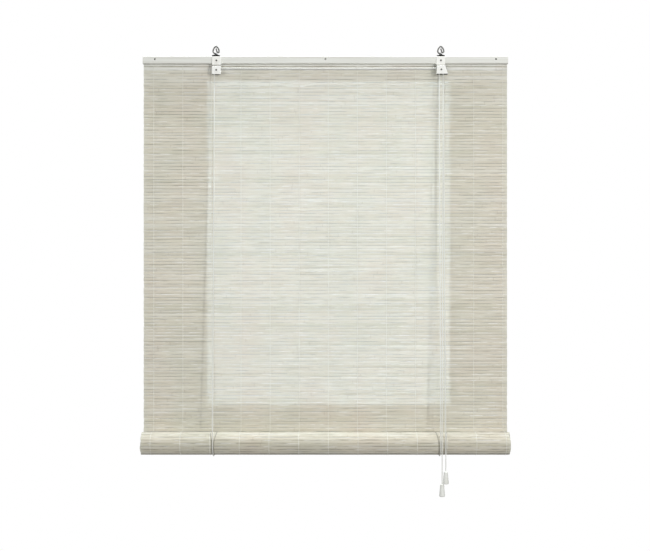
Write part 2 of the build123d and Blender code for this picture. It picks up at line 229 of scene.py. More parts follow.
# %% Colour of the cane
CANE_TONES = (
    (0.3, seen(217, 212, 192)),
    (0.5, seen(225, 218, 200)),
    (0.75, seen(231, 227, 212)),
    (0.9, seen(239, 236, 226)),
)
DARKEST_CANE = seen(194, 187, 166)
PALEST_CANE = seen(250, 249, 244)
PINK_CANE = seen(219, 204, 187)
GREEN_CANE = seen(206, 207, 189)
THICK_WASH = seen(238, 237, 230)
BARE_CANE = seen(166, 154, 128)
FIBRE_BROWN = seen(172, 162, 140)
KNUCKLE_BROWN = seen(150, 128, 98)
KNUCKLES_PER_METRE = 2.9
KNUCKLE_SHARE = 0.004
KNUCKLE_STRENGTH = 0.14


def cane_tone(tree):
    """The plain colour of a slat, from the tone that is stored on it, with pink and green patches."""
    ramp = add_node(tree, "ShaderNodeValToRGB", {"Fac": stored(tree, "tone")["Fac"]})
    stops = ramp.color_ramp.elements
    stops[0].position = 0.0
    stops[0].color = DARKEST_CANE
    stops[1].position = 1.0
    stops[1].color = PALEST_CANE
    for place, colour in CANE_TONES:
        stop = stops.new(place)
        stop.color = colour
    patches = stretched_noise(tree, object_place(tree), (8.0, 8.0, 5.0), detail=2.0)
    pinker = tinted(tree, spread(tree, patches, 0.0, 0.3, 0.5, 0.68), ramp.outputs["Color"], PINK_CANE)
    return tinted(tree, spread(tree, patches, 0.3, 0.0, 0.34, 0.5), pinker, GREEN_CANE)


def streaked_cane(tree, grain, fibres):
    """The colour of a slat with its wash, its fibres and its knuckles."""
    streaks = stretched_noise(tree, grain, (14.0, 260.0, 260.0), detail=5.0, roughness=0.6)
    washed = tinted(tree, spread(tree, streaks, 0.0, 0.55, 0.5, 0.72), cane_tone(tree), THICK_WASH)
    worn = tinted(tree, spread(tree, streaks, 0.35, 0.0, 0.28, 0.43), washed, BARE_CANE)
    lined = tinted(tree, spread(tree, fibres, 0.12, 0.0, 0.3, 0.5), worn, FIBRE_BROWN)
    cycles = calc(tree, "MULTIPLY", parts_of(tree, grain)["X"], KNUCKLES_PER_METRE)
    knuckle = calc(tree, "COMPARE", calc(tree, "FRACT", cycles), 0.5, KNUCKLE_SHARE)
    return tinted(tree, calc(tree, "MULTIPLY", knuckle, KNUCKLE_STRENGTH), lined, KNUCKLE_BROWN)


print("cane colours:", len(CANE_TONES) + 2)

# %% [markdown]
# A mat shows its slats by their edges. The lower edge of a slat lies in shade and the upper one catches the
# light, now more and now less along the slat, and both are painted into its colour: noise along the stored
# "rim", which runs from -1 at the low edge to 1 at the high edge, draws a line of painted shade and one of
# painted highlight. On the roll, dark lines of painted shade flank the cords and spread apart towards its
# top, and painted shade darkens its underside.

# %% Painted edge lines and painted shade on the roll
# Colours of the painted shade on a slat's low edge and of the painted highlight on its high edge.
LOW_EDGE_PAINTED_SHADE = seen(92, 82, 62)
HIGH_EDGE_PAINTED_HIGHLIGHT = seen(252, 251, 247)
# Each pair of painted shade lines: its middle, and how far from it a line is at the bottom and at the top of
# the roll.
CORD_SHADE_LINES = ((LEFT_CORD_X, 0.0018, 0.009), (0.283, 0.0075, 0.0145))
SHADE_LINE_FLARE = 4.0
SHADE_LINE_WIDTH = 0.0018
SHADE_LINE_DARKNESS = 0.75
# Painted shade that darkens the roll towards its lowest point, fading out between these heights above it.
UNDERSIDE_SHADE_START = 0.0005
UNDERSIDE_SHADE_END = 0.0075
UNDERSIDE_SHADE = 0.85
ROLL_MARGIN = 0.0015


def painted_edge_lines(tree, grain):
    """How much painted shade on the low edge and painted highlight on the high edge show at a point of a
    slat.
    """
    rim = stored(tree, "rim")["Fac"]
    low_share = stretched_noise(tree, grain, (22.0, 50.0, 50.0), detail=2.0)
    high_share = stretched_noise(tree, grain, (31.0, 61.0, 61.0), detail=2.0)
    low_edge = spread(tree, rim, 0.0, 1.0, -0.5, -0.95)
    high_edge = spread(tree, rim, 0.0, 1.0, 0.5, 0.95)
    low_line = calc(tree, "MULTIPLY", low_edge, spread(tree, low_share, 0.1, 0.95, 0.4, 0.6))
    high_line = calc(tree, "MULTIPLY", high_edge, spread(tree, high_share, 0.0, 0.95, 0.5, 0.64))
    return low_line, high_line


def roll_shade(tree):
    """Painted shade on the roll: dark lines beside the cords, wider apart towards its top, and a darker
    underside.
    """
    place = parts_of(tree, object_place(tree))
    low, high = ROLL_MIDDLE.z - ROLL_RADIUS, ROLL_MIDDLE.z + ROLL_RADIUS
    flare = calc(tree, "POWER", spread(tree, place["Z"], 0.0, 1.0, low, high), SHADE_LINE_FLARE)
    shade = spread(tree, place["Z"], UNDERSIDE_SHADE, 0.0, low + UNDERSIDE_SHADE_START, low + UNDERSIDE_SHADE_END)
    for middle, narrow, wide in CORD_SHADE_LINES:
        side = calc(tree, "ABSOLUTE", calc(tree, "SUBTRACT", place["X"], middle))
        off = calc(tree, "ABSOLUTE", calc(tree, "SUBTRACT", side, spread(tree, flare, narrow, wide)))
        shade = calc(tree, "MAXIMUM", shade, spread(tree, off, SHADE_LINE_DARKNESS, 0.0, 0.0, SHADE_LINE_WIDTH))
    rolled = calc(tree, "LESS_THAN", place["Y"], mat_low.y - ROLL_MARGIN)
    return calc(tree, "MULTIPLY", shade, rolled)


print("creases on the roll:", len(CORD_SHADE_LINES))

# %% [markdown]
# A thin slat also lets some light through. So the finish mixes the washed surface with a translucent shader,
# by a share that is stored on the slats: larger at the back of a hanging slat than at its front, and small
# in the roll, where slat lies on slat. The dark low edges let through more, the pale high edges less.

# %% Bamboo finish
PALE_ENDS_START = 0.012
PALE_ENDS_FULL = 0.002
LOW_EDGE_CLEAR = 0.26
HIGH_EDGE_CLEAR = -0.15


def bamboo_finish():
    """White-washed split bamboo."""
    finish, tree, shader = new_finish("bamboo_whitewash", seen(208, 203, 188), 0.55)
    grain = stored(tree, "grain")["Vector"]
    fibres = stretched_noise(tree, grain, (7.0, 1400.0, 1400.0), detail=3.0)
    cane = streaked_cane(tree, grain, fibres)
    low_line, high_line = painted_edge_lines(tree, grain)
    # Painted shade along the low edges and painted highlight along the high edges.
    edged = tinted(tree, low_line, cane, LOW_EDGE_PAINTED_SHADE)
    edged = tinted(tree, high_line, edged, HIGH_EDGE_PAINTED_HIGHLIGHT)
    reach = calc(tree, "ABSOLUTE", parts_of(tree, object_place(tree))["X"])
    ends = spread(tree, reach, 0.0, 0.4, HALF_WIDTH - PALE_ENDS_START, HALF_WIDTH - PALE_ENDS_FULL)
    colour = tinted(tree, ends, edged, seen(226, 228, 214))
    # Painted shade on the roll: dark lines beside the cords and a darker underside.
    colour = tinted(tree, roll_shade(tree), colour, seen(104, 97, 82))
    tree.links.new(colour, shader.inputs["Base Color"])
    tree.links.new(spread(tree, fibres, 0.45, 0.68), shader.inputs["Roughness"])
    bumped(tree, shader, fibres, 0.35, 0.0003)
    through = tinted(tree, 0.6, cane, seen(230, 235, 235))
    glow = add_node(tree, "ShaderNodeBsdfTranslucent", {"Color": through})
    thin = calc(tree, "MULTIPLY_ADD", low_line, LOW_EDGE_CLEAR, stored(tree, "clear")["Fac"])
    share = calc(tree, "MULTIPLY_ADD", high_line, HIGH_EDGE_CLEAR, thin)
    both = add_node(
        tree, "ShaderNodeMixShader", {0: share, 1: shader.outputs["BSDF"], 2: glow.outputs["BSDF"]}
    )
    tree.links.new(both.outputs["Shader"], tree.nodes["Material Output"].inputs["Surface"])
    return finish


BAMBOO = bamboo_finish()
print("finish:", BAMBOO.name)

# %% [markdown]
# One slat is modelled and then copied for the whole mat. It starts as a cube at the size of a slat,
# is cut across at every third string and midway between those, gets a line along its middle, and its long
# edges are pressed thinner, which leaves the gentle crown of a split cane. There are hundreds of copies, so
# a slat has only a few dozen faces.

# %% One slat
bays = (STRING_PLACES[1:] + STRING_PLACES[:-1]) / 2
SECTION_PLACES = np.sort(np.concatenate(([-HALF_WIDTH], STRING_PLACES[1::3], bays[2::3], [HALF_WIDTH])))
SECTIONS = len(SECTION_PLACES)
EDGE_SHARE = 0.62
SLAT_SMOOTH = math.radians(40)

bpy.ops.object.select_all(action="DESELECT")
bpy.ops.mesh.primitive_cube_add(size=1, scale=(2 * HALF_WIDTH, SLAT_THICK, SLAT_WIDTH))
master_slat = bpy.context.object
bpy.ops.object.transform_apply(location=True, rotation=True, scale=True)


def choose(obj, wanted, kind="VERT"):
    """In edit mode, selects the vertices or edges whose points wanted accepts."""
    bpy.ops.mesh.select_mode(type=kind)
    bpy.ops.mesh.select_all(action="DESELECT")
    bpy.ops.object.mode_set(mode="OBJECT")
    points = obj.data.vertices
    if kind == "VERT":
        for point in points:
            point.select = wanted(point.co)
    else:
        for edge in obj.data.edges:
            edge.select = wanted(points[edge.vertices[0]].co, points[edge.vertices[1]].co)
    bpy.ops.object.mode_set(mode="EDIT")


bpy.ops.object.mode_set(mode="EDIT")
choose(master_slat, lambda a, b: abs(a.x - b.x) > HALF_WIDTH, "EDGE")
bpy.ops.mesh.subdivide(number_cuts=SECTIONS - 2)
choose(master_slat, lambda a, b: abs(a.z - b.z) > SLAT_WIDTH / 2, "EDGE")
bpy.ops.mesh.subdivide(number_cuts=1)
choose(master_slat, lambda point: abs(point.z) > SLAT_WIDTH / 4)
bpy.ops.transform.resize(value=(1, EDGE_SHARE, 1))
bpy.ops.object.mode_set(mode="OBJECT")
bpy.ops.object.shade_smooth_by_angle(angle=SLAT_SMOOTH)
slat_points = np.array([point.co for point in master_slat.data.vertices])
slat_section = np.rint((slat_points[:, 0] / HALF_WIDTH + 1) / 2 * (SECTIONS - 1)).astype(int)
print("one slat:", len(master_slat.data.polygons), "faces,", SECTIONS, "sections")

# %% [markdown]
# Real slats are split by eye: they differ in width, twist a little between the strings that pinch them, and
# bow out of the mat. Each copy gets its own numbers for that at every section. Four attributes go with it:
# its tone, how near a point is to an edge, how much light passes, and a grain place that gives every slat its
# own stretch of the bamboo's streaks.

# %% Copies of the slat
GRAIN_REACH = 40
MIDDLE_TONE = 0.5
TONE_SPREAD = 0.09
TONE_DRIFT = 0.05
TONE_LIMITS = (0.02, 1.0)
DRIFT_KEPT = 0.6


def add_slat(name, across, thick, along_x, middle_y, middle_z, tone, clear):
    """A copy of the slat, with its points placed and its attributes stored."""
    mesh = master_slat.data.copy()
    mesh.name = name
    x = along_x[slat_section]
    mesh.vertices.foreach_set("co", np.column_stack((x, middle_y, middle_z)).astype(np.float32).ravel())
    front_clear, back_clear = clear
    for label, values in (
        ("tone", tone[slat_section]),
        ("rim", across / np.abs(across).max()),
        ("clear", np.where(thick > 0, back_clear, front_clear)),
    ):
        attribute = mesh.attributes.new(label, "FLOAT", "POINT")
        attribute.data.foreach_set("value", values.astype(np.float32))
    grain = mesh.attributes.new("grain", "FLOAT_VECTOR", "POINT")
    shift = chance.uniform(0, GRAIN_REACH, 3)
    place = np.column_stack((x, thick, across)) + shift
    grain.data.foreach_set("vector", place.astype(np.float32).ravel())
    copy = bpy.data.objects.new(name, mesh)
    scene.collection.objects.link(copy)
    return copy


def pick(*pieces):
    """Selects objects, and makes the first one active."""
    bpy.ops.object.select_all(action="DESELECT")
    for piece in pieces:
        piece.select_set(True)
    bpy.context.view_layer.objects.active = pieces[0]


def joined(name, pieces):
    """Several objects as one, with a name of its own."""
    pick(*pieces)
    bpy.ops.object.join()
    whole = bpy.context.object
    whole.name = name
    whole.data.name = name
    whole.data.materials.clear()
    return whole


def wander(step):
    """A number for each section, which drifts from one section to the next."""
    values = np.zeros(SECTIONS)
    values[0] = chance.normal(0, step)
    for i in range(1, SECTIONS):
        values[i] = DRIFT_KEPT * values[i - 1] + chance.normal(0, step)
    return values


def ragged(step):
    """The places of the sections, with both ends of the slat cut a little short."""
    places = SECTION_PLACES.copy()
    places[0] += abs(chance.normal(0, step))
    places[-1] -= abs(chance.normal(0, step))
    return places


def slat_tones(middle=MIDDLE_TONE):
    """The tone of one slat along its length."""
    return np.clip(chance.normal(middle, TONE_SPREAD) + wander(TONE_DRIFT), *TONE_LIMITS)


print("slats can be copied")

# %% [markdown]
# ## The hanging mat
# The upper few slats stay put behind the headrail. All the rest disappear into the roll when the blind is
# raised, so they are a piece of their own, which shortens towards the top as the roll comes up.

# %% Hanging slats
SPLIT_SLATS = 11
PINCH = 0.2
TWIST = math.radians(5.5)
BOW = 0.00014
DRIFT = 0.00006
NARROWING = 0.02
NARROW_STEP = 0.6
NARROW_LIMIT = 1.5
HANGING_RAGGED = 0.0004
WIDTH_SPREAD = 0.075
WIDTH_LIMITS = (0.82, 1.2)
SEEN_GAP = 0.00014
HANGING_CLEAR = (0.25, 0.9)
TOP_WIDTHS = (1.122, 0.931, 0.255)
# Painted light and shade in the top slats, against the shade under the headrail: the second slat from the top
# is made palest and the five below the third are paler, while the narrow third slat is nearly black, a
# painted shadow line. These tones reach the palest and the darkest end of the cane's ramp.
TOP_PAINTED_LIGHT_AND_SHADE_TONES = {1: 1.1, 2: 0.02, 3: 0.9, 4: 0.9, 5: 0.85, 6: 0.85, 7: 0.8}

pinch = np.where(np.arange(SECTIONS) % 2, PINCH, 1.0)
widths = chance.normal(1.0, WIDTH_SPREAD, hanging_slats).clip(*WIDTH_LIMITS)
widths[:len(TOP_WIDTHS)] = TOP_WIDTHS
widths *= (mat_high.z - mat_low.z) / widths.sum()
tops = mat_high.z - np.concatenate(([0.0], np.cumsum(widths)[:-1]))
slat_middles = tops - (widths - SEEN_GAP) / 2
hanging = []
for index in range(hanging_slats):
    clamped = tops[index] > rail_low.z - SLAT_PITCH
    loose = 0.0 if clamped else 1.0
    twist = loose * (pinch * chance.normal(0, TWIST, SECTIONS))[slat_section]
    bow = loose * (pinch * wander(BOW))[slat_section]
    drift = loose * wander(DRIFT)[slat_section]
    narrow = 1 - NARROWING * loose * np.abs(wander(NARROW_STEP)).clip(0, NARROW_LIMIT)[slat_section]
    across = slat_points[:, 2] * (widths[index] - SEEN_GAP) / SLAT_WIDTH * narrow
    thick = slat_points[:, 1]
    y = MAT_Y + bow + thick * np.cos(twist) - across * np.sin(twist)
    z = slat_middles[index] + drift + thick * np.sin(twist) + across * np.cos(twist)
    places = ragged(HANGING_RAGGED)
    # The top slats take their painted light and shade from these tones.
    tones = slat_tones(TOP_PAINTED_LIGHT_AND_SHADE_TONES.get(index, MIDDLE_TONE))
    hanging.append(add_slat("slat", across, thick, places, y, z, tones, HANGING_CLEAR))

mat_top = joined("mat_top", hanging[:SPLIT_SLATS])
mat_hanging = joined("mat_hanging", hanging[SPLIT_SLATS:])
for piece in (mat_top, mat_hanging):
    piece.data.materials.append(BAMBOO)
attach(mat_top, "headrail_unit")
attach(mat_hanging, "headrail_unit")
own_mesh(mat_hanging)
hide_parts("bamboo_mat")

# %% [markdown]
# ## The roll
# The rolled part is the same mat, wound under to the front, so its slats lie on a spiral. The loop below
# steps along that spiral one slat at a time, as the model does, and lays each slat flat on its chord.

# %% Rolled slats
ROLLED_SINK = 0.00012
ROLLED_WIDTHS = (0.98, 1.045)
ROLLED_RAGGED = 0.0016
ROLLED_CLEAR = (0.24, 0.24)
HUB = np.array((ROLL_MIDDLE.y, ROLL_MIDDLE.z))


def on_spiral(turned):
    """A point on the roll's outer side, as y and z, and its radius."""
    radius = ROLL_RADIUS - TURN_PITCH * turned / (2 * math.pi)
    y = ROLL_MIDDLE.y + radius * math.cos(turned)
    z = ROLL_MIDDLE.z - radius * math.sin(turned)
    return np.array((y, z)), radius


rolled = []
turned = 0.0
for index in range(ROLLED_SLATS):
    start, radius = on_spiral(turned)
    end, _ = on_spiral(turned + SLAT_WIDTH / radius)
    chord = (end - start) / np.linalg.norm(end - start)
    outward = np.array((-chord[1], chord[0]))
    if outward @ (start - HUB) < 0:
        outward = -outward
    outer_turn = turned < 2 * math.pi
    twist = (wander(TWIST / 3) if outer_turn else np.zeros(SECTIONS))[slat_section]
    sink = (np.abs(wander(ROLLED_SINK)) if outer_turn else np.zeros(SECTIONS))[slat_section]
    across = slat_points[:, 2] * chance.uniform(*ROLLED_WIDTHS)
    thick = slat_points[:, 1]
    along = across * np.cos(twist) - thick * np.sin(twist)
    out = thick * np.cos(twist) + across * np.sin(twist) - SLAT_THICK / 2 - sink
    middle = (start + end) / 2
    y = middle[0] + chord[0] * along + outward[0] * out
    z = middle[1] + chord[1] * along + outward[1] * out
    places = ragged(ROLLED_RAGGED)
    rolled.append(add_slat("rolled_slat", across, thick, places, y, z, slat_tones(), ROLLED_CLEAR))
    turned += SLAT_PITCH / radius

mat_roll = joined("mat_roll", rolled)
bpy.ops.object.mode_set(mode="EDIT")
bpy.ops.mesh.select_all(action="SELECT")
bpy.ops.mesh.normals_make_consistent(inside=False)
bpy.ops.object.mode_set(mode="OBJECT")
mat_roll.data.materials.append(BAMBOO)
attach(mat_roll, "roll")
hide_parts("rolled_mat")
bpy.data.objects.remove(master_slat)
print("roll:", len(mat_roll.data.polygons), "faces,", round(turned / (2 * math.pi), 2), "turns")

# %% [markdown]
# ## Strings of the weave
# Each row of the weave is a pair of strings. One goes in front of a slat while the other goes behind it,
# and they change places in every gap. A curve with a small round section makes such a string, and it is
# turned into a mesh, because only a mesh can shorten with the mat.

# %% String finish


def string_finish():
    """Pale twisted cotton."""
    finish, tree, shader = new_finish("warp_cotton", seen(230, 230, 222), 0.85)
    place = object_place(tree)
    twine = add_node(
        tree,
        "ShaderNodeTexWave",
        {"Vector": place, "Scale": 260.0, "Distortion": 1.5},
        bands_direction="DIAGONAL",
    ).outputs["Fac"]
    colour = tinted(tree, spread(tree, twine, 0.0, 0.5), seen(242, 242, 235), seen(208, 206, 193))
    tree.links.new(colour, shader.inputs["Base Color"])
    bumped(tree, shader, twine, 0.4, 0.0002)
    shader.inputs["Sheen Weight"].default_value = 0.2
    return finish


STRING = string_finish()
STRAND_RADIUS = 0.0006
STRAND_REACH = SLAT_THICK / 2 + 0.0002
STRAND_SWING = 1.6


def drawn(name, lines, resolution):
    """Smooth splines that lists of points control, as one curve in the scene."""
    curve = bpy.data.curves.new(name, "CURVE")
    curve.dimensions = "3D"
    curve.resolution_u = resolution
    for line in lines:
        spline = curve.splines.new("NURBS")
        spline.points.add(len(line) - 1)
        for point, place in zip(spline.points, line):
            point.co = (*place, 1)
        spline.order_u = 3
        spline.use_endpoint_u = True
    holder = bpy.data.objects.new(name, curve)
    scene.collection.objects.link(holder)
    return holder


def strands(name, lines):
    """Woven strings along lists of points, as one mesh."""
    holder = drawn(name, lines, resolution=2)
    holder.data.bevel_depth = STRAND_RADIUS
    holder.data.bevel_resolution = 1
    holder.data.use_fill_caps = True
    pick(holder)
    bpy.ops.object.convert(target="MESH")
    whole = bpy.context.object
    whole.data.materials.clear()
    whole.data.materials.append(STRING)
    bpy.ops.object.shade_smooth()
    return whole


def woven_lines(first, last):
    """Both strings of every row, past the hanging slats from first to last."""
    lines = []
    for x in STRING_PLACES:
        for side in (-1, 1):
            line = []
            for index in range(first, last):
                out = side * (1 if index % 2 else -1)
                line.append((x, MAT_Y, tops[index] + SEEN_GAP / 2))
                line.append((x, MAT_Y + out * STRAND_SWING * STRAND_REACH, slat_middles[index]))
            line.append((x, MAT_Y, tops[last - 1] - widths[last - 1] + SEEN_GAP / 2))
            lines.append(line)
    return lines


first_free = int(np.argmax(tops < rail_low.z))
strings_top = strands("strings_top", woven_lines(first_free, SPLIT_SLATS))
strings_hanging = strands("strings_hanging", woven_lines(SPLIT_SLATS, hanging_slats))
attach(strings_top, "headrail_unit")
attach(strings_hanging, "headrail_unit")
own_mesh(strings_hanging)
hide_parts("warp_strings")
print("strings:", len(strings_hanging.data.polygons), "faces")

# %% [markdown]
# On the roll, the same strings follow the spiral. Only its outer turn shows them, so they end a little past
# one turn.

# %% Strings on the roll
STRING_TURNS = 1.05
STRING_SINK = 0.00025

rolled_lines = []
for x in STRING_PLACES:
    for side in (-1, 1):
        line = []
        turned = 0.0
        index = 0
        while turned < 2 * math.pi * STRING_TURNS:
            gap_turn = turned - SLAT_GAP / 2 / radius if index else 0.0
            place, radius = on_spiral(gap_turn)
            middle, radius = on_spiral(turned + SLAT_WIDTH / 2 / radius)
            away = (middle - HUB) / np.linalg.norm(middle - HUB)
            out = side * (1 if index % 2 else -1)
            inside = middle - away * (SLAT_THICK / 2 + STRING_SINK)
            gap_place = place - away * SLAT_THICK / 2
            line.append((x, *gap_place))
            line.append((x, *(inside + away * out * STRAND_SWING * STRAND_REACH)))
            turned += SLAT_PITCH / radius
            index += 1
        rolled_lines.append(line)
strings_roll = strands("strings_roll", rolled_lines)
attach(strings_roll, "roll")
print("strings on the roll:", len(strings_roll.data.polygons), "faces")

# %% [markdown]
# ## Cords
# The lifting cords are thin braided cords. Each is drawn as a route of a few points, a smooth spline gives
# the line between them, and rings of points round that line make the tube. The tube has its own map, with
# one direction round the cord and the other along it, so that the braid follows every bend.

# %% Cord finish and tube
BRAID_STRANDS = 4.0
BRAIDS_PER_METRE = 520.0
CORD_SIDES = 8
CORD_STEPS = 16
CORD_SMOOTH = math.radians(60)


def cord_finish():
    """White braided cord: two sets of strands that cross on the slant, with painted shade in the grooves
    between them.
    """
    finish, tree, shader = new_finish("braided_cord", seen(232, 233, 227), 0.8)
    place = add_node(tree, "ShaderNodeUVMap", uv_map="braid").outputs["UV"]
    waves = []
    for slant in (1.0, -1.0):
        stretch = (BRAID_STRANDS * slant, BRAIDS_PER_METRE, 1.0)
        mapped = add_node(tree, "ShaderNodeMapping", {"Vector": place, "Scale": stretch})
        parts = parts_of(tree, mapped.outputs["Vector"])
        cycles = calc(tree, "ADD", parts["X"], parts["Y"])
        waves.append(calc(tree, "SINE", calc(tree, "MULTIPLY", cycles, 2 * math.pi)))
    height = spread(tree, calc(tree, "MAXIMUM", *waves), 0.0, 1.0, -0.4, 1.0)
    # The low grooves of the braid get the darker colour: painted shade.
    colour = tinted(tree, height, seen(210, 210, 202), seen(240, 241, 236))
    tree.links.new(colour, shader.inputs["Base Color"])
    bumped(tree, shader, height, 0.5, 0.0002)
    shader.inputs["Sheen Weight"].default_value = 0.25
    return finish


CORD = cord_finish()


def smooth_line(route):
    """Points of the smooth spline that a route controls."""
    holder = drawn("route", [route], CORD_STEPS)
    bpy.context.view_layer.update()
    mesh = bpy.data.meshes.new_from_object(holder.evaluated_get(bpy.context.evaluated_depsgraph_get()))
    line = [point.co.copy() for point in mesh.vertices]
    bpy.data.objects.remove(holder)
    bpy.data.meshes.remove(mesh)
    return line


def tube(name, line, radius=CORD_RADIUS, closed=False):
    """A round tube on a line of points, with its braid map. A closed line makes a ring, others get caps."""
    count = len(line)
    sides = CORD_SIDES
    points = []
    faces = []
    along = [0.0]
    side = None
    for i, place in enumerate(line):
        before = line[i - 1] if i or closed else place
        after = line[(i + 1) % count] if i < count - 1 or closed else place
        ahead = (after - before).normalized()
        if side is None:
            side = ahead.orthogonal().normalized()
        side = (side - ahead * side.dot(ahead)).normalized()
        up = ahead.cross(side)
        for k in range(sides):
            angle = 2 * math.pi * k / sides
            points.append(place + radius * (math.cos(angle) * side + math.sin(angle) * up))
        if i:
            along.append(along[-1] + (place - line[i - 1]).length)
    braid = []
    rings = count if closed else count - 1
    for i in range(rings):
        for k in range(sides):
            next_k = (k + 1) % sides
            next_i = (i + 1) % count
            faces.append((i * sides + k, i * sides + next_k, next_i * sides + next_k, next_i * sides + k))
            end = along[i + 1] if i + 1 < count else along[i] + (line[0] - line[-1]).length
            left, right = k / sides, (k + 1) / sides
            braid += [(left, along[i]), (right, along[i]), (right, end), (left, end)]
    if not closed:
        faces.append(tuple(reversed(range(sides))))
        faces.append(tuple(range((count - 1) * sides, count * sides)))
        braid += [(k / sides, 0.0) for k in range(2 * sides)]
    mesh = bpy.data.meshes.new(name)
    mesh.from_pydata(points, [], faces)
    layer = mesh.uv_layers.new(name="braid")
    for corner, value in zip(layer.data, braid):
        corner.uv = value
    mesh.update()
    made = bpy.data.objects.new(name, mesh)
    scene.collection.objects.link(made)
    mesh.materials.append(CORD)
    pick(made)
    bpy.ops.object.shade_smooth_by_angle(angle=CORD_SMOOTH)
    return made


def line_length(line):
    """How long a line of points is."""
    return sum((b - a).length for a, b in zip(line, line[1:]))


print("cord tubes are ready")

# %% [markdown]
# A lifting cord starts at a knot on top of the lath, goes down behind the mat, under the roll in a sling,
# up in front to its pulley and over to the lock. The legs shorten as the roll comes up. The sling rises
# with the roll, and the runs over the pulleys stay with the headrail.

# %% Lifting cords
PULLEY_RADIUS = 0.005
AXLE_Z = -0.028
CROSSING_Z = AXLE_Z + PULLEY_RADIUS
CROSSING_SAG = 0.001
REAR_GROOVE_Y = -0.0244
FRONT_GROOVE_Y = -0.0297
ANCHOR_Y = -0.0025
FRONT_Y = ROLL_MIDDLE.y - SLING_RADIUS
REAR_Y = ROLL_MIDDLE.y + SLING_RADIUS
ROLL_Z = ROLL_MIDDLE.z
LEFT_ANCHOR_X = -0.281
RIGHT_ANCHOR_X = 0.271
LOCK_EXIT_X = 0.289
TAUT_LEAD = 0.014


def straight(bottom, top):
    """The route of a taut run: both ends, and a point a little way in from each."""
    low, high = Vector(bottom), Vector(top)
    lead = (high - low).normalized() * TAUT_LEAD
    return [low, low + lead, high - lead, high]


def shortening(piece):
    """Hangs an upright run of cord on the headrail unit, with a mesh of its own."""
    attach(piece, "headrail_unit")
    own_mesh(piece)


def sling_route(x):
    """Points round the underside of the roll, on the corners of half an octagon."""
    corner = SLING_RADIUS * math.tan(math.pi / 8)
    return [
        (x, REAR_Y, ROLL_Z),
        (x, REAR_Y, ROLL_Z - corner),
        (x, ROLL_MIDDLE.y + corner, ROLL_Z - SLING_RADIUS),
        (x, ROLL_MIDDLE.y - corner, ROLL_Z - SLING_RADIUS),
        (x, FRONT_Y, ROLL_Z - corner),
        (x, FRONT_Y, ROLL_Z),
    ]


for side, x, anchor_x, groove_y in (
    ("left", LEFT_CORD_X, LEFT_ANCHOR_X, REAR_GROOVE_Y),
    ("right", RIGHT_CORD_X, RIGHT_ANCHOR_X, FRONT_GROOVE_Y),
):
    rear_line = smooth_line(straight((x, REAR_Y, ROLL_Z), (anchor_x, ANCHOR_Y, rail_high.z)))
    rear = tube(side + "_rear_leg", rear_line)
    shortening(rear)
    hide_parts(side + "_rear_cord")
    sling_line = smooth_line(sling_route(x))
    sling = tube(side + "_sling", sling_line)
    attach(sling, "cord_slings")
    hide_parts(side + "_cord_sling")
    front_line = smooth_line(straight((x, FRONT_Y, ROLL_Z), (x, groove_y, AXLE_Z)))
    front = tube(side + "_front_leg", front_line)
    shortening(front)
    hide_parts(side + "_front_cord")
    total = line_length(rear_line) + line_length(sling_line) + line_length(front_line)
    print(side, "lifting cord to its pulley:", round(total, 3), "m")

crossing_line = smooth_line([
    (LEFT_CORD_X, REAR_GROOVE_Y, AXLE_Z),
    (LEFT_CORD_X, REAR_GROOVE_Y, CROSSING_Z),
    (-0.262, REAR_GROOVE_Y, CROSSING_Z),
    (0.010, REAR_GROOVE_Y, CROSSING_Z - CROSSING_SAG),
    (0.278, REAR_GROOVE_Y, CROSSING_Z),
    (LOCK_EXIT_X, REAR_GROOVE_Y, CROSSING_Z),
    (LOCK_EXIT_X, REAR_GROOVE_Y, AXLE_Z),
])
crossing = tube("crossing_cord", crossing_line)
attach(crossing, "headrail_unit")
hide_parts("left_cord_crossing")
bend_line = smooth_line([
    (RIGHT_CORD_X, FRONT_GROOVE_Y, AXLE_Z),
    (RIGHT_CORD_X, FRONT_GROOVE_Y, CROSSING_Z),
    (LOCK_EXIT_X, FRONT_GROOVE_Y, CROSSING_Z),
    (LOCK_EXIT_X, FRONT_GROOVE_Y, AXLE_Z),
])
bend = tube("lock_bend_cord", bend_line)
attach(bend, "headrail_unit")
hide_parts("right_cord_bend")
print("crossing cord:", round(line_length(crossing_line), 3), "m")

# %% [markdown]
# The pull cords are the free ends. They leave the lock, hang down in front of the roll and end in a knot
# inside a bell-shaped tassel. Above the roll they shorten with the lifting cords, and below it they
# lengthen, because the tassels go down as the roll comes up.

# %% Pull cords
LEFT_PULL_X = 0.2912
RIGHT_PULL_X = 0.2823

for side, x, groove_y in (("left", LEFT_PULL_X, REAR_GROOVE_Y), ("right", RIGHT_PULL_X, FRONT_GROOVE_Y)):
    run_line = smooth_line(straight((x, FRONT_Y, ROLL_Z), (LOCK_EXIT_X, groove_y, AXLE_Z)))
    run = tube(side + "_pull_run", run_line)
    shortening(run)
    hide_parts(side + "_pull_cord")
    tail_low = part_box(side + "_cord_tail")[0].z
    tail_line = smooth_line(straight((x, FRONT_Y, tail_low), (x, FRONT_Y, ROLL_Z)))
    tail = tube(side + "_tail", tail_line)
    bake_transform(tail)
    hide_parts(side + "_cord_tail")
    print(side, "pull cord:", round(line_length(run_line) + line_length(tail_line), 3), "m")

# %% [markdown]
# A knot is the same cord drawn tight. A three-lobed loop, squeezed into the space of the model's knot, has
# the crossings that show on a small overhand knot.

# %% Knots
KNOT_STEPS = 42
KNOT_STRAND_SHARE = 0.3


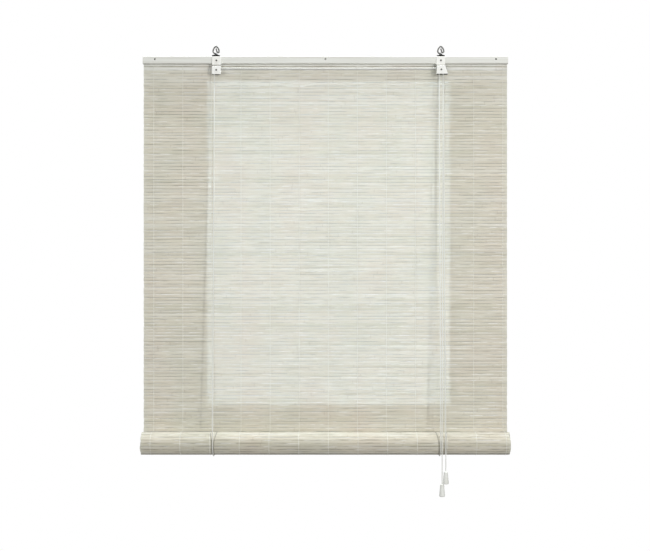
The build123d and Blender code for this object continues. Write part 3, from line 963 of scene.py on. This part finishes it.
def pulled_knot(node, body):
    """A tight knot in the place of a CAD knot."""
    low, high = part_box(node)
    middle = (low + high) / 2
    reach = (high.x - low.x) / 2
    rise = (high.z - low.z) / 2
    strand = KNOT_STRAND_SHARE * reach
    line = []
    for step in range(KNOT_STEPS):
        turn = 2 * math.pi * step / KNOT_STEPS
        ring = (2 + math.cos(3 * turn)) / 3 * (reach - strand)
        x = ring * math.cos(2 * turn)
        y = ring * math.sin(2 * turn)
        z = (rise - strand) * math.sin(3 * turn)
        line.append(middle + Vector((x, y, z)))
    made = tube(node.replace("knot", "pulled_knot"), line, radius=strand, closed=True)
    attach(made, body)
    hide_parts(node)


for side in ("left", "right"):
    pulled_knot(side + "_stop_knot", "headrail_unit")
    pulled_knot(side + "_tassel_knot", side + "_bell")
print("knots: 4")

# %% [markdown]
# ## Painted wood, steel and plastic
# The rigid fittings keep their solids. The batten is painted wood with the brush marks along it, the cases
# are folded steel under cream enamel, hooks and pins are galvanised, and the wheels and tassels moulded.
# Inside
# a case the finish paints shade: dark in the room between its cheeks, which grows wider downwards where the
# right case flares.

# %% Finishes of the fittings
CREAM = seen(240, 240, 236)
LEFT_CASE_X = -0.268
RIGHT_CASE_X = 0.284
CASE_ROOM = 0.0104
CASE_SHEET = 0.0006
CASE_FOLD_Z = -0.0177
# Painted shade: a grey band about the fold under the headrail.
FOLD_SHADE_Z = -0.0165
FOLD_SHADE_REACH = 0.0019
FLARE_TOP_Z = -0.0244
FLARE_DEPTH = 0.05
FLARE_SLOPE = 0.42
HOOK_BLACK_BELOW = 0.0158


def painted_wood():
    """White paint on a planed batten, with brush marks along it and faint warmer patches."""
    finish, tree, shader = new_finish("white_batten_paint", seen(218, 219, 213), 0.45)
    place = object_place(tree)
    brush = stretched_noise(tree, place, (5.0, 260.0, 260.0), detail=6.0)
    patches = stretched_noise(tree, place, (3.0, 9.0, 9.0), detail=2.0)
    shade = tinted(tree, spread(tree, brush, 0.0, 1.0, 0.35, 0.65), seen(209, 209, 202), seen(222, 223, 218))
    colour = tinted(tree, spread(tree, patches, 0.0, 0.25), shade, seen(214, 211, 201))
    tree.links.new(colour, shader.inputs["Base Color"])
    tree.links.new(spread(tree, brush, 0.36, 0.55), shader.inputs["Roughness"])
    bumped(tree, shader, brush, 0.25, 0.0003)
    return finish


def enamel(name, middle, front, slope):
    """Cream enamel on folded sheet steel, with painted shade inside the case and in the fold under the
    headrail.
    """
    finish, tree, shader = new_finish(name, CREAM, 0.32)
    place = object_place(tree)
    parts = parts_of(tree, place)
    dust = stretched_noise(tree, place, (60.0, 60.0, 60.0), detail=4.0)
    peel = stretched_noise(tree, place, (700.0, 700.0, 700.0), detail=1.0)
    clean = tinted(tree, spread(tree, dust, 0.0, 0.6, 0.4, 0.7), CREAM, seen(226, 224, 215))
    # A grey band of painted shade about the fold.
    fold = calc(tree, "COMPARE", parts["Z"], FOLD_SHADE_Z, FOLD_SHADE_REACH)
    fold_shaded = tinted(tree, fold, clean, seen(146, 143, 135))
    flare_low_z = FLARE_TOP_Z - FLARE_DEPTH
    half_flare = spread(tree, parts["Z"], 0.0, slope * FLARE_DEPTH / 2, FLARE_TOP_Z, flare_low_z)
    from_middle = calc(tree, "SUBTRACT", calc(tree, "SUBTRACT", parts["X"], middle), half_flare)
    room = calc(tree, "ADD", half_flare, CASE_ROOM)
    between = calc(tree, "COMPARE", from_middle, 0.0, room)
    behind = calc(tree, "GREATER_THAN", parts["Y"], front)
    below = calc(tree, "LESS_THAN", parts["Z"], CASE_FOLD_Z)
    inside = calc(tree, "MULTIPLY", calc(tree, "MULTIPLY", between, behind), below)
    # Painted shade inside the case: a dark colour between its cheeks, behind its front and below the fold.
    colour = tinted(tree, inside, fold_shaded, seen(70, 68, 64))
    tree.links.new(colour, shader.inputs["Base Color"])
    tree.links.new(spread(tree, dust, 0.26, 0.42), shader.inputs["Roughness"])
    bumped(tree, shader, peel, 0.08, 0.0002)
    return finish


def worn_steel(name, bright, dull, roughness, black_below=None):
    """Plated steel, dulled in patches, and lacquered black below a height where one is given."""
    finish, tree, shader = new_finish(name, bright, roughness, metallic=1.0)
    place = object_place(tree)
    patches = stretched_noise(tree, place, (350.0, 350.0, 350.0), detail=5.0)
    colour = tinted(tree, spread(tree, patches, 0.0, 1.0, 0.35, 0.7), bright, dull)
    if black_below is not None:
        bare = calc(tree, "GREATER_THAN", parts_of(tree, place)["Z"], black_below)
        colour = tinted(tree, bare, seen(30, 29, 28), colour)
        tree.links.new(bare, shader.inputs["Metallic"])
    tree.links.new(colour, shader.inputs["Base Color"])
    tree.links.new(spread(tree, patches, roughness - 0.08, roughness + 0.15), shader.inputs["Roughness"])
    shader.inputs["Specular IOR Level"].default_value = 0.25
    return finish


def black_washer():
    """Black lacquered steel, rubbed paler in small patches."""
    finish, tree, shader = new_finish("black_lacquer", seen(34, 33, 32), 0.6)
    shader.inputs["Specular IOR Level"].default_value = 0.08
    place = object_place(tree)
    rub = stretched_noise(tree, place, (500.0, 500.0, 500.0), detail=4.0)
    colour = tinted(tree, spread(tree, rub, 0.0, 1.0, 0.5, 0.75), seen(20, 19, 18), seen(46, 44, 42))
    tree.links.new(colour, shader.inputs["Base Color"])
    tree.links.new(spread(tree, rub, 0.5, 0.7), shader.inputs["Roughness"])
    return finish


def moulded(name, colour, shaded, roughness):
    """Moulded plastic with a faint flow mark."""
    finish, tree, shader = new_finish(name, colour, roughness)
    place = object_place(tree)
    flow = stretched_noise(tree, place, (90.0, 90.0, 45.0), detail=3.0)
    fine = stretched_noise(tree, place, (1500.0, 1500.0, 1500.0), detail=1.0)
    mixed = tinted(tree, spread(tree, flow, 0.0, 1.0, 0.4, 0.65), colour, shaded)
    tree.links.new(mixed, shader.inputs["Base Color"])
    tree.links.new(spread(tree, flow, roughness - 0.06, roughness + 0.1), shader.inputs["Roughness"])
    bumped(tree, shader, fine, 0.06, 0.0001)
    return finish


left_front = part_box("left_pulley_case")[0].y + CASE_SHEET
right_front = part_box("cord_lock_case")[0].y + CASE_SHEET

BATTEN = painted_wood()
LEFT_ENAMEL = enamel("cream_enamel_left", LEFT_CASE_X, left_front, slope=0.0)
RIGHT_ENAMEL = enamel("cream_enamel_right", RIGHT_CASE_X, right_front, slope=FLARE_SLOPE)
HOOK_STEEL = worn_steel("galvanised_wire", seen(122, 122, 119), seen(80, 80, 77), 0.42, HOOK_BLACK_BELOW)
DARK_STEEL = worn_steel("dark_zinc", seen(104, 102, 98), seen(66, 64, 62), 0.45)
WASHER = black_washer()
WHEEL = moulded("wheel_plastic", seen(226, 226, 220), seen(214, 213, 205), 0.4)
TASSEL = moulded("tassel_plastic", seen(227, 228, 223), seen(217, 217, 210), 0.42)

finish_of = {
    "headrail": BATTEN, "rear_lath": BATTEN, "bottom_stick": BATTEN,
    "left_pulley_case": LEFT_ENAMEL, "cord_lock_case": RIGHT_ENAMEL,
    "left_hanging_hook": HOOK_STEEL, "right_hanging_hook": HOOK_STEEL,
    "case_screws": DARK_STEEL, "left_axle_pin": DARK_STEEL, "lock_axle_pin": DARK_STEEL,
    "lath_brads": DARK_STEEL, "locking_roller": DARK_STEEL,
    "left_hook_washer": WASHER, "right_hook_washer": WASHER,
    "left_pulley_wheel": WHEEL, "lock_rear_wheel": WHEEL, "lock_front_wheel": WHEEL,
    "left_tassel": TASSEL, "right_tassel": TASSEL,
}
for name, finish in finish_of.items():
    nodes[name].data.materials.clear()
    nodes[name].data.materials.append(finish)
print("fittings finished:", len(finish_of))

# %% [markdown]
# ## Light
# Two small lamps stand in front, about level with the headrail, the right one brighter. A strip hangs above,
# a lamp behind lights the back, and a soft panel close behind the mat shines through the middle of it. The
# world is white to the camera, in reflections and through glass, and only a gentle fill to everything else.
# Light that a slat lets through counts as the fill.

# %% Lamps and world
MAT_CENTRE = (0, 0, -0.5)
PANEL_PLACE = (0.008, 0.005, -0.452)
PANEL_AIM = (0.008, 0, -0.452)
PANEL_SPREAD = math.radians(45)
FILL_BELOW = 0.32
FILL_ABOVE = 0.52


def area_lamp(name, place, aim, width, height, watts, colour=(1.0, 1.0, 1.0)):
    """A rectangular lamp that looks from its place to a point."""
    bpy.ops.object.light_add(type="AREA", location=place)
    lamp = bpy.context.object
    lamp.name = name
    lamp.rotation_euler = (Vector(aim) - Vector(place)).to_track_quat("-Z", "Y").to_euler()
    lamp.data.shape = "RECTANGLE"
    lamp.data.size = width
    lamp.data.size_y = height
    lamp.data.energy = watts
    lamp.data.color = colour
    lamp.visible_camera = False
    return lamp


area_lamp("right_lamp", (1.8, -3.3, -0.16), MAT_CENTRE, 0.16, 0.16, 51, (1.0, 0.99, 0.97))
area_lamp("left_lamp", (-1.8, -3.3, -0.05), MAT_CENTRE, 0.16, 0.16, 19, (0.98, 0.99, 1.0))
area_lamp("top_lamp", (0, -0.17, 1.5), (0, -0.04, -0.95), 1.6, 0.22, 46, (0.92, 0.97, 1.0))
area_lamp("rear_lamp", (0.7, 3.0, 0.7), MAT_CENTRE, 0.8, 0.8, 24)
panel = area_lamp("panel_lamp", PANEL_PLACE, PANEL_AIM, 0.60, 0.80, 2.0, (0.68, 0.81, 1.0))
panel.data.spread = PANEL_SPREAD

world = bpy.data.worlds.new("white_room")
scene.world = world
world.use_nodes = True
tree = world.node_tree
rays = add_node(tree, "ShaderNodeLightPath").outputs
seen_rays = calc(tree, "MAXIMUM", rays["Is Camera Ray"], rays["Is Glossy Ray"])
glass_rays = calc(tree, "SUBTRACT", rays["Is Transmission Ray"], rays["Is Diffuse Ray"])
shown = calc(tree, "MAXIMUM", seen_rays, glass_rays)
direction = add_node(tree, "ShaderNodeTexCoord").outputs["Generated"]
height = parts_of(tree, direction)["Z"]
fill = spread(tree, height, FILL_BELOW, FILL_ABOVE, -1.0, 1.0)
strength = spread(tree, shown, fill, 1.0)
background = tree.nodes["Background"]
background.inputs["Color"].default_value = (1, 1, 1, 1)
tree.links.new(strength, background.inputs["Strength"])
print("lamps: 5, fill", FILL_BELOW, "to", FILL_ABOVE)

# %% [markdown]
# The floor is far below, because the tassels go down more than a metre and a half when the blind is raised.

# %% Floor
FLOOR_Z = -2.9
FLOOR_SIZE = 12

bpy.ops.object.select_all(action="DESELECT")
bpy.ops.mesh.primitive_plane_add(size=FLOOR_SIZE, location=(0, 0, FLOOR_Z))
floor = bpy.context.object
floor.name = "floor"
paint = new_finish("pale_floor", (0.9, 0.9, 0.9, 1), 0.8)[0]
floor.data.materials.append(paint)
floor.visible_diffuse = False
print("floor at", FLOOR_Z)
